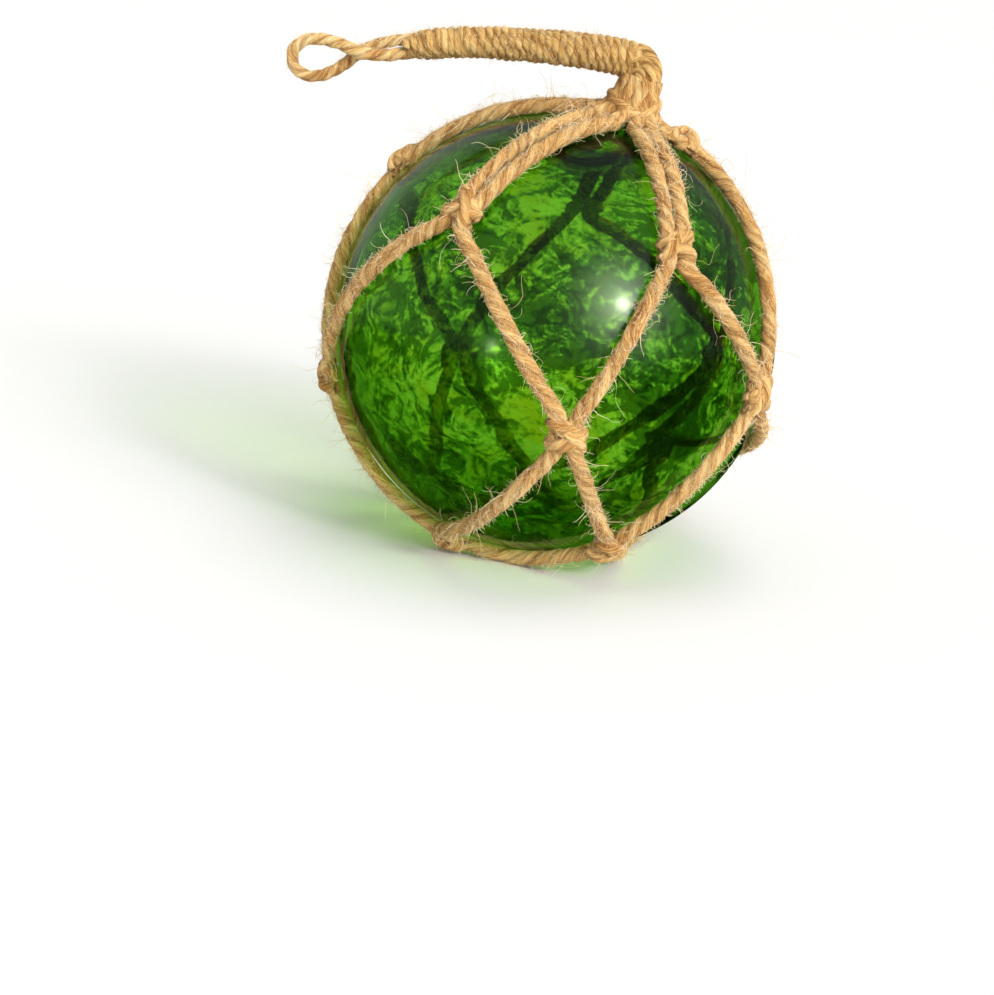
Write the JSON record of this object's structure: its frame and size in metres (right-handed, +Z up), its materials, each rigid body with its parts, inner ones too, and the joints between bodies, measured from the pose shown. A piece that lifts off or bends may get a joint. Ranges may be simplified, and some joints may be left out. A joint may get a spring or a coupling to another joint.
{
  "type": "glass float ball",
  "caption": "Sealed hollow glass float ball held in a knotted cord net, with the cords bound together at the top and a whipped hanging strap that ends in an eye.",
  "frame": {"origin": "middle of the small flat spot under the ball, where it stands", "axes": "+Z up through the middle of the ball, -Y is the front, and the hanging strap runs towards -X"},
  "size_m": [0.1137, 0.1065, 0.1175],
  "materials": {
    "glass": "clear deep green blown glass, polished",
    "jute_cord": "laid jute twine, golden tan, matt and hairy",
    "jute_twine": "thin jute twine, wound tight, matt"
  },
  "bodies": {
    "root": {"glass_ball": "glass", "net_cord_1": "jute_cord", "net_cord_2": "jute_cord", "net_cord_3": "jute_cord", "net_cord_4": "jute_cord", "net_cord_5": "jute_cord", "gather_binding": "jute_cord", "hanging_strap": "jute_cord", "strap_whipping": "jute_twine"}
  },
  "joints": []
}
